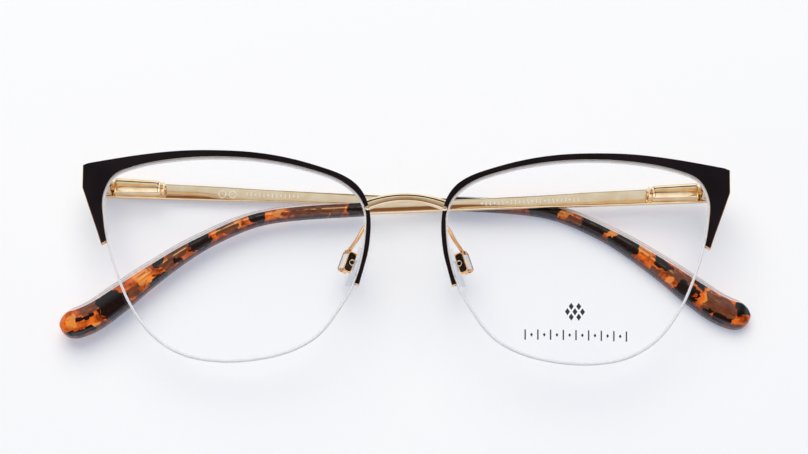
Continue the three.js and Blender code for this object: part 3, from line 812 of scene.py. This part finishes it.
def lens(side):
    """Dished lens with a bevelled, grooved and frosted edge."""
    top, bottom = GROOVE_MIDDLE + 0.33, GROOVE_MIDDLE - 0.33
    wall = [
        (0.12, 0), (0.03, -0.035), (0, -0.12), (0, top), (0.42, top), (0.42, bottom), (0, bottom),
        (0, 0.14 - LENS_THICKNESS), (0.04, 0.04 - LENS_THICKNESS), (0.14, -LENS_THICKNESS),
    ]
    shares = (0.06, 0.2, 0.36, 0.52, 0.68, 0.82, 0.93)
    rings = [lens_face(s, 0) for s in shares]
    rings += [lens_line(inwards, height, range(len(LENS_EDGE))) for inwards, height in wall]
    rings += [lens_face(s, -LENS_THICKNESS) for s in reversed(shares)]
    face, edge = ([kind] * len(LENS_EDGE) for kind in (0, 1))
    kinds = [face] * len(shares) + [edge] * (len(wall) - 1) + [face] * len(shares)
    shape = Shape().loft(rings, kinds, cap_kind=0)
    if side == "left":
        lens_print(shape)
    looks = [CLEAR, FROSTED, DARK_PRINT]
    build(f"lens_{side}", "ground", shape, FRONT[side], looks, crease=35)


def nylon_cord(side):
    """The cord that holds the lens, from one end of the rim to the other."""
    path = lens_line(CORD_INSET, GROOVE_MIDDLE, np.arange(*CORD_STATIONS, 1.0))
    radius = np.full(len(path), CORD_RADIUS)
    radius[[0, -1]] = 0.2
    shape = Shape().tube(path, radius, 12)
    build(f"nylon_cord_{side}", "line", shape, FRONT[side], [NYLON])


def crested(half, deep, edge=0.22):
    """Section of the bridge, (up, out): its front curls back to the brow, its back is flat."""
    tilt = [
        (-1, -12), (-0.8, 4.5), (-0.6, 5.8), (0.05, 7), (0.16, 11),
        (0.25, 18), (0.6, 25), (0.68, 30), (0.9, 44), (1, 60),
    ]
    ups = np.linspace(-half + edge, half - 0.1, 22)
    slopes = np.tan(np.radians(value_at(tilt, ups / half)))
    steps = (slopes[1:] + slopes[:-1]) / 2 * np.diff(ups)
    outs = -np.concatenate([[0], np.cumsum(steps)])
    outs += deep - outs.max()
    low = outs[0] - edge
    front = [(-half, low), (-half + 0.3 * edge, low + 0.7 * edge)] + list(zip(ups, outs))
    soft = 0.3 * edge - deep
    back = [
        (half, outs[-1] - 0.25), (half, edge - deep), (half - 0.3 * edge, soft),
        (half - edge, -deep), (-half + edge, -deep), (-half + 0.3 * edge, soft),
        (-half, edge - deep),
    ]
    return front + back


def bridge():
    """Arched bar whose front curls back towards the brow, lapping on both rims."""
    shape = Shape()
    rings = []
    for x in np.linspace(-8.1, 8.1, 61):
        share = min(1.0, (x / 7.9) ** 2)
        section = crested(0.9 + 0.25 * share, 0.8)
        y, z = -5.9 - 1.4 * share, 4.1 - 0.4 * share
        rings.append([(x, y + up, z + out) for up, out in section])
    shape.loft(rings)
    solder = [(0, 0.32), (0.25, 0.3), (0.44, 0.16), (0.5, -0.02), (0.5, -0.4), (0, -0.4)]
    for x, y in ((-7.75, -8.3), (7.75, -8.3)):
        shape.turned(solder, (x, y, front_height(x, y)), (0, 0, 1), 24)
    middle = GLASSES @ place(z=FRONT_ABOVE_PIN, rx=PANTOSCOPIC_TILT)
    build("bridge", "bar", shape, middle, [GOLD], crease=35)


# ----- nose pads
def u_channel():
    """The box that holds the pad: a strip bent to a U, with a window (kind 2) in its back."""
    back, front, half, outer, inner, floor, corner = -1.35, 0.7, 2.2, 1.15, 0.75, -1.0, 0.55
    outside = [(front, outer)] + quarter(back + corner, outer - corner, corner, 90, 5)
    inside = [(front, inner)] + quarter(floor + 0.2, inner - 0.2, 0.2, 90, 5)
    outside += [(x, -z) for x, z in reversed(outside)]
    inside += [(x, -z) for x, z in reversed(inside)]
    low, high = -1.75, 1.35
    ways = [(outside, y) for y in (-half, low, high, half)]
    ways += [(inside, y) for y in (half, high, low, -half)]
    rings = [[(line[k][0], y, line[k][1]) for line, y in ways] for k in range(len(outside))]
    window, last = [0, 2, 0, 0, 0, 2, 0, 0], len(rings) - 4
    kinds = [window if 2 <= k <= last else [0] * 8 for k in range(len(rings) - 1)]
    return rings, kinds


def pad_arm(side):
    """The pad's box with its two bordered cheeks, and the wire that joins it to the rim."""
    turn = np.array(place(*PAD_PLACE, ry=PAD_SPLAY, rz=-PAD_LEAN))

    def from_pad(points):
        return np.asarray(points, float) @ turn[:3, :3].T + turn[:3, 3]

    def cheek(inset, corner, height):
        outline = rounded(half_x - inset, half_y - inset, corner, 4)
        return from_pad([(border_centre + x, y, sign * height) for x, y in outline])

    shape = Shape()
    rings, kinds = u_channel()
    shape.loft([from_pad(ring) for ring in rings], kinds)
    border_centre, half_x, half_y = -0.325, 0.98, 2.1
    for sign in (1, -1):
        border = ((0, 1.14), (0.03, 1.3), (0.17, 1.3), (0.2, 1.14))
        shape.loft(np.array([cheek(inset, 0.45, height) for inset, height in border]), closed=True)
        # A dark plate of painted shade inside each bordered cheek.
        shape.loft([cheek(0.14, 0.35, height) for height in (1.13, 1.165)], 1)
    node_name, looks = f"pad_arm_{side}", [GOLD_DEEP, SHADE, BOX_BACK]
    build(node_name, "box", shape, FRONT[side], looks, crease=35, bevel=0.12)
    rim_back = front_height(-7.65, -10.9) - RIM_SET_BACK - RIM_THICKNESS
    route = [
        (-7.65, -10.9, rim_back + 0.2), (-7.7, -10.8, rim_back - 1.2),
        (-8.6, -11.5, 0.5), (-9.9, -13.4, -1.0), tuple(from_pad([(-0.95, 1.9, 0)])[0]),
    ]
    wire = Shape().tube(spline(route, per=14), 0.38, 18)
    build(node_name, "wire", wire, FRONT[side], [GOLD_DEEP], replacing=False)


def pad_screw(side):
    """Round head with a raised lip, and a floor and slot in painted shade."""
    profile = [
        (0, -1.3), (0.3, -1.3), (0.36, -1.24), (0.36, 1.2), (0.6, 1.2), (0.65, 1.24), (0.65, 1.4),
        (0.62, 1.48), (0.55, 1.51), (0.47, 1.48), (0.43, 1.4), (0.42, 1.26), (0, 1.25),
    ]
    centre, axis = (0, 0, 0), (0, 0, 1)
    shape = Shape().turned(profile, centre, axis, 32)
    # The floor disc and the slot are painted shade.
    shape.turned([(0, 1.25), (0.41, 1.25), (0.41, 1.3), (0, 1.3)], centre, axis, 20, 1)
    shape.loft([[(x, y, z) for x, y in bar_mark(0, 0, 0.26, 0.05)] for z in (1.28, 1.34)], 1)
    build(f"pad_screw_{side}", "head", shape, PAD[side], [GOLD, SHADE])


def nose_pad(side):
    """Soft oval pad: domed towards the nose, flat behind, with a rolled edge."""
    size_x, size_y, size_z, centre, back = 1.25, 6.6, 3.6, 2.35, 1.3
    outline = [(size_y * math.cos(a), size_z * math.sin(a)) for a in full_turn(72)]
    widest = math.sqrt(1 - ((back - centre) / size_x) ** 2)
    levels = [(back, widest * share) for share in (0.2, 0.6, 0.85)]
    for angle in np.radians(np.linspace(-57.1, 84, 18)):
        levels.append((centre + size_x * math.sin(angle), math.cos(angle)))
    rings = [[(x, y * wide, z * wide) for y, z in outline] for x, wide in levels]
    build(
        f"nose_pad_{side}", "silicone", Shape().loft(rings), PAD[side], [SILICONE],
        f"pad_body_{side}", crease=50,
    )


# ----- temples
def on_temple(side, node_name, suffix, shape, looks, crease):
    name, body = f"{node_name}_{side}", f"temple_body_{side}"
    return build(name, suffix, shape, FOLDED[side], looks, body, crease=crease)


def superellipse(half_a, half_b, power=2.6, sides=36):
    angles = full_turn(sides)
    c, s = np.cos(angles), np.sin(angles)
    shrink = (np.abs(c) ** power + np.abs(s) ** power) ** (-1 / power)
    return np.column_stack([c * shrink * half_a, s * shrink * half_b])


def spring_housing(side):
    """Barrel with a round nose and a turned bead where it meets the bar."""
    outer, inner = -2.09, 0.7
    stations = [
        (1.7, 0.86), (1.78, 0.94), (1.95, 0.985), (2.2, 1), (4, 1), (6, 1), (8, 1), (9.8, 1),
        (10.5, 0.985), (10.9, 0.95), (11.15, 0.88), (11.28, 0.8), (11.34, 0.74), (11.44, 0.74),
        (11.5, 0.8), (11.6, 0.87), (11.76, 0.9), (11.94, 0.87), (12.06, 0.78), (12.14, 0.66),
        (12.24, 0.58), (12.34, 0.44),
    ]
    rings = []
    for u, size in stations:
        half_height = np.interp(u, (1.7, 13), (1.75, 1.45)) * size
        depth = (inner - outer) * size
        section = superellipse(half_height, depth / 2)
        rings.append([(u, up, outer + depth / 2 + out) for up, out in section])
    on_temple(side, "spring_housing", "barrel", Shape().loft(rings), [GOLD], 50)


def bar_section(half_height, half_depth, crown=0.11, lean=0.0):
    """Bar with crowned faces and rolled edges. With lean 1 each face is highest at one edge."""
    flat = half_height - BAR_EDGE

    def out_at(share):
        return half_depth - crown * (share + lean) ** 2

    face = [(flat * share, out_at(share)) for share in np.linspace(0.92, -0.92, 9)]
    top, foot = out_at(1) - BAR_EDGE, out_at(-1) - BAR_EDGE
    over = quarter(flat, top, BAR_EDGE, 0, 3) + face + quarter(-flat, foot, BAR_EDGE, 90, 3)
    return over + [(-up, -out) for up, out in over]


def bar_face(side, u):
    """Crown and lean of the bar's faces, which set where its reflections run."""
    if side == "right":
        return np.interp(u, (20, 30), (0.11, 0.05)), np.interp(u, (20, 30), (0, 1))
    places = (4, 14, 34, 50)
    return np.interp(u, places, (0.11, 0.05, 0.05, 0.085)), np.interp(u, places, (0, 1, 1, 0))


def temple_marks(shape, side):
    """Plain printed rings, dots and ticks on the inner face of the bar."""
    def lift(u, v):
        crown, lean = bar_face(side, u)
        flat = value_at(BAR_HEIGHTS, u) / 2 - BAR_EDGE
        return BAR_INNER + PRINT_LIFT - crown * (v / flat + lean) ** 2

    if side == "right":
        for u in (23.9, 26.1):
            ring_mark(shape, u, -0.2, 0.85, 0.2, 1, lift)
        places = np.linspace(29, 39.6, 13)
    else:
        places = np.linspace(26.4, 46.4, 24)
    for k, u in enumerate(places):
        half_u, half_v, shape_of = (0.3, 0.3, lozenge) if k % 3 == 2 else (0.09, 0.48, bar_mark)
        mark(shape, shape_of(u, -0.05, half_u, half_v), 1, lift)


def swept(line, at):
    """A function that lays a section square to the line, at a distance along it."""
    ways = np.gradient(line, axis=0)
    ways /= np.linalg.norm(ways, axis=1)[:, None]

    def ring(distance, section, centre):
        u, v = (np.interp(distance, at, line[:, k]) for k in range(2))
        a, b = (np.interp(distance, at, ways[:, k]) for k in range(2))
        return [(u - b * up, v + a * up, centre + out) for up, out in section]

    return ring


def temple(side):
    """The flat bar, cut back at the hinge, and its core wire inside the tip."""
    middle, half_depth = (BAR_INNER + BAR_OUTER) / 2, (BAR_INNER - BAR_OUTER) / 2
    rings = []
    for u, cut in [(-0.85, 0.19)] + [(u, 0) for u in np.linspace(1.0, 70.7, 56)]:
        section = bar_section(value_at(BAR_HEIGHTS, u) / 2, half_depth, *bar_face(side, u))
        rings.append([(u - cut * out, up, middle + out) for up, out in section])
    line = spline(TIP_LINE, per=10)
    ring = swept(eased(line, False, 2), arc_lengths(line))
    for distance in np.linspace(0.05, 50, 30):
        half = np.interp(distance, (0, 30, 50), (0.65, 0.6, 0.45))
        rings.append(ring(distance, bar_section(half, half * 0.85), middle))
    shape = Shape().loft(rings)
    temple_marks(shape, side)
    on_temple(side, "temple", "bar", shape, [GOLD_SATIN, WHITE_PRINT], 40)


def temple_tip(side):
    """The acetate tip, which widens towards its round end and leans there to its lower edge."""
    line = eased(spline(TIP_LINE, per=14), False, 3)
    at = arc_lengths(line)
    length = at[-1]
    ring = swept(line, at)
    straight = np.arange(0.25, length - TIP_END_RADIUS, 0.7)
    turns = np.linspace(0, math.pi / 2 * 0.985, 14)
    round_end = length - TIP_END_RADIUS * (1 - np.sin(turns))
    rings, plan = [], []
    for distance in [0.0] + list(straight) + list(round_end):
        drawn_in = 0.93 if distance == 0 else 1
        left = min(1, (length - distance) / TIP_END_RADIUS)
        full = math.sqrt(max(0, 1 - (1 - left) ** 2))
        half_height = value_at(TIP_HEIGHTS, distance) / 2
        half_depth = value_at(TIP_THICKNESS, distance) / 2 * (0.75 + 0.25 * full)
        centre = TIP_OUTER + half_depth
        height, depth = half_height * full * drawn_in, half_depth * drawn_in
        lean = 0.5 * max(0, (distance - 52) / (length - 52)) ** 2
        corner = min(0.8, height * 0.8, depth * 0.75)
        section = [
            (up - lean * (up / half_height + 1) / 2, out)
            for up, out in rounded(height, depth, corner, 5)
        ]
        rings.append(ring(distance, section, centre))
        plan.append([(distance, up, half_height - lean) for up, _ in section])
    shape = Shape().loft(rings)
    looks = [TORTOISE[side]]
    piece = on_temple(side, "temple_tip", "acetate", shape, looks, 50)
    lay_plan(piece, rings, plan, FOLDED[side])


def lay_plan(piece, rings, plan, matrix):
    """Stores where each point lies on the tip: distance along, height and half height."""
    at = np.array(matrix)
    known = (np.asarray(rings).reshape(-1, 3) @ at[:3, :3].T + at[:3, 3]) * MM
    values = np.asarray(plan, float).reshape(-1, 3)
    mesh = piece.data
    layer = mesh.attributes.new("plan", "FLOAT_VECTOR", "POINT")
    nearest = [np.argmin(((known - np.array(v.co)) ** 2).sum(1)) for v in mesh.vertices]
    layer.data.foreach_set("vector", values[nearest].astype(np.float32).ravel())


# ----- hinges
def hinge_screw(side):
    """Turned screw with a slotted head, along the hinge's axis."""
    profile = [
        (0, -1.95), (0.5, -1.95), (0.56, -1.89), (0.56, 1.9), (0.86, 1.9), (0.9, 1.94),
        (0.9, 2.13), (0.84, 2.25), (0.7, 2.33), (0, 2.35),
    ]
    shape = Shape().turned(profile, (0, 0, 0), (0, 1, 0), 36)
    slot = bar_mark(0, 0, 0.7, 0.08)
    # The slot is a flush plate of painted shade.
    shape.loft([[(x, y, z) for x, z in slot] for y in (2.29, 2.35)], 1)
    build(f"hinge_screw_{side}", "turned", shape, FOLDED[side], [STEEL, SHADE])


def dress_kept_nodes():
    """Inner pieces that keep their CAD shape and take a worked material."""
    kept = (("rim_liner", NYLON), ("spring_sleeve", STEEL), ("spring_retainer", STEEL))
    for side in SIDES:
        for name, look in kept:
            for slot in frame["nodes"][f"{name}_{side}"].material_slots:
                slot.material = look


def flex_spring(side):
    """The coil spring: a cleaned copy of its CAD shape on the temple body. Its seat in the temple is found from
    the joint, but nothing shortens the coil.
    """
    name, joint_name = f"flex_spring_{side}", f"spring_flex_{side}"
    joint = next(j for j in frame["record"]["behaviour"]["joints"] if j["name"] == joint_name)
    low, high = (Vector(corner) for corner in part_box(name))
    seat = (low + high) / 2
    seat.x = joint["deforming_nodes"][0]["fixed_end_x_m"]
    coil = eased_copy(name, f"temple_body_{side}", [SPRING], 0)
    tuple(joint["axis"])
    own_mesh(coil)


def side_pieces(side):
    for make in (rim, lens, nylon_cord, pad_arm, pad_screw, nose_pad):
        make(side)
    eased_copy(f"pad_core_{side}", f"pad_body_{side}", [CLEAR_CORE], 0.12)
    eased_copy(f"end_piece_{side}", "front", [GOLD], 0.14, 3)
    hinge_screw(side)
    eased_copy(f"hinge_slider_{side}", f"hinge_slider_body_{side}", [GOLD], 0.06)
    for make in (flex_spring, spring_housing, temple, temple_tip):
        make(side)


# ----- stage, light and camera
SKY_LEVEL = 2.92
FILL_LEVEL = 0.36
FILL_TONE = (0.92, 0.98, 1.13, 1)
KEY_POWER = 20.6
KEY_SIZE = 1.8
KEY_TONE = (1.07, 0.985, 0.79)
KEY_DISTANCE = 1.5
KEY_TILT = math.radians(33)
TABLE_REACH = 3.0
TABLE_GLOW = 0.26
TABLE_DROP = 0.00002


def floor():
    """Pale table with a faint glow of its own, which keeps the shadows weak."""
    look, tree = new_look("pale_table")
    cloud = noise(tree, node(tree, "TexCoord").outputs["Object"], 3.0, 2)
    principled(tree, {
        "Base Color": blended(tree, cloud, srgb(224, 225, 229), srgb(227, 228, 231)),
        "Roughness": 0.6, "Specular IOR Level": 0.2,
        "Emission Color": (0.89, 0.965, 1.14, 1), "Emission Strength": TABLE_GLOW,
    })
    mesh = bpy.data.meshes.new("table_top")
    corners = [(x, y, 0) for x, y in bar_mark(0, 0, TABLE_REACH, TABLE_REACH)]
    mesh.from_pydata(corners, [], [(0, 1, 2, 3)])
    mesh.materials.append(look)
    table = linked("table_top", mesh)
    table.location.z = -TABLE_DROP


def ramp(tree, value, stops):
    """Colour ramp over (position, colour) stops."""
    made = node(tree, "ValToRGB", {0: value})
    elements = made.color_ramp.elements
    for k, (position, colour) in enumerate(stops):
        element = elements[k] if k < 2 else elements.new(position)
        element.position = position
        element.color = (*colour, 1)
    return made.outputs[0]


def studio_sky():
    """Softboxes from the front of the table to its back, for reflections, and an even fill."""
    world = bpy.data.worlds.new("studio")
    bpy.context.scene.world = world
    world.use_nodes = True
    tree = world.node_tree
    tree.nodes.clear()
    way = node(tree, "TexCoord").outputs["Generated"]
    across, back, up = node(tree, "SeparateXYZ", {0: way}).outputs
    angle = maths(tree, "ARCTAN2", back, up)
    levels = [
        (-90, 1.45, 0), (-60, 1.4, 0), (-25, 1.15, 0), (-6, 0.9, 0), (2, 0.6, 0),
        (7, 0.3, 1.65), (19, 0.26, 1.65), (24, 0.8, -0.05), (41, 0.92, -0.15),
        (44, 0.03, 0.3), (57, 0.03, 0.3), (61, 1.3, 0), (90, 1.3, 0),
    ]
    stops = []
    for degrees, level, warmth in levels:
        half = level / 2
        colour = (level * 0.485, half * (1 - 0.35 * warmth), half * (1.045 - 0.52 * warmth))
        stops.append(((degrees + 90) / 180, colour))
    front_to_back = ramp(tree, remap(tree, angle, -math.pi / 2, math.pi / 2), stops)
    sides = ((0.3, 0.66), (0.38, 0.25), (0.52, 0.25), (0.6, 0.95), (1, 1))
    sideways = ramp(tree, maths(tree, "ABSOLUTE", across), [(at, (v, v, v)) for at, v in sides])
    both = vectors(tree, "MULTIPLY", front_to_back, sideways)
    boxes = node(tree, "Background", {"Color": both, "Strength": SKY_LEVEL}).outputs[0]
    fill = node(tree, "Background", {"Color": FILL_TONE, "Strength": FILL_LEVEL}).outputs[0]
    glossy = node(tree, "LightPath").outputs["Is Glossy Ray"]
    mixed = node(tree, "MixShader", {0: glossy, 1: fill, 2: boxes}).outputs[0]
    node(tree, "OutputWorld", {"Surface": mixed})


def key_light():
    """One large round lamp from above and behind, not seen in reflections."""
    lamp = bpy.data.lights.new("key", "AREA")
    lamp.shape = "DISK"
    lamp.size = KEY_SIZE
    lamp.energy = KEY_POWER
    lamp.color = KEY_TONE
    holder = linked("key", lamp)
    way = Vector((-0.12, math.sin(KEY_TILT), math.cos(KEY_TILT))).normalized()
    holder.location = way * KEY_DISTANCE
    holder.rotation_euler = way.to_track_quat("Z", "Y").to_euler()
    holder.visible_glossy = False


def camera():
    """The photograph's view, as fitted to its measured points."""
    azimuth, elevation, roll = (math.radians(a) for a in (-3, 68.487, 3.707))
    distance, target = 0.454496, Vector((-0.001015, 0.006946, 0.010898))
    level_reach = math.cos(elevation)
    back = Vector((
        math.sin(azimuth) * level_reach, -math.cos(azimuth) * level_reach, math.sin(elevation),
    ))
    level = (-back).cross(Vector((0, 0, 1))).normalized()
    upright = level.cross(-back)
    right = level * math.cos(roll) + upright * math.sin(roll)
    up = upright * math.cos(roll) - level * math.sin(roll)
    data = bpy.data.cameras.new("camera")
    data.lens = 100
    data.sensor_width = 36
    data.clip_start = 0.01
    eye = linked("camera", data)
    turn = Matrix((right, up, back)).transposed().to_4x4()
    eye.matrix_world = Matrix.Translation(target + back * distance) @ turn
    bpy.context.scene.camera = eye


camera()
floor()
studio_sky()
key_light()
bpy.context.scene.view_settings.view_transform = "Standard"
for side in SIDES:
    side_pieces(side)
bridge()
dress_kept_nodes()

bpy.context.view_layer.update()
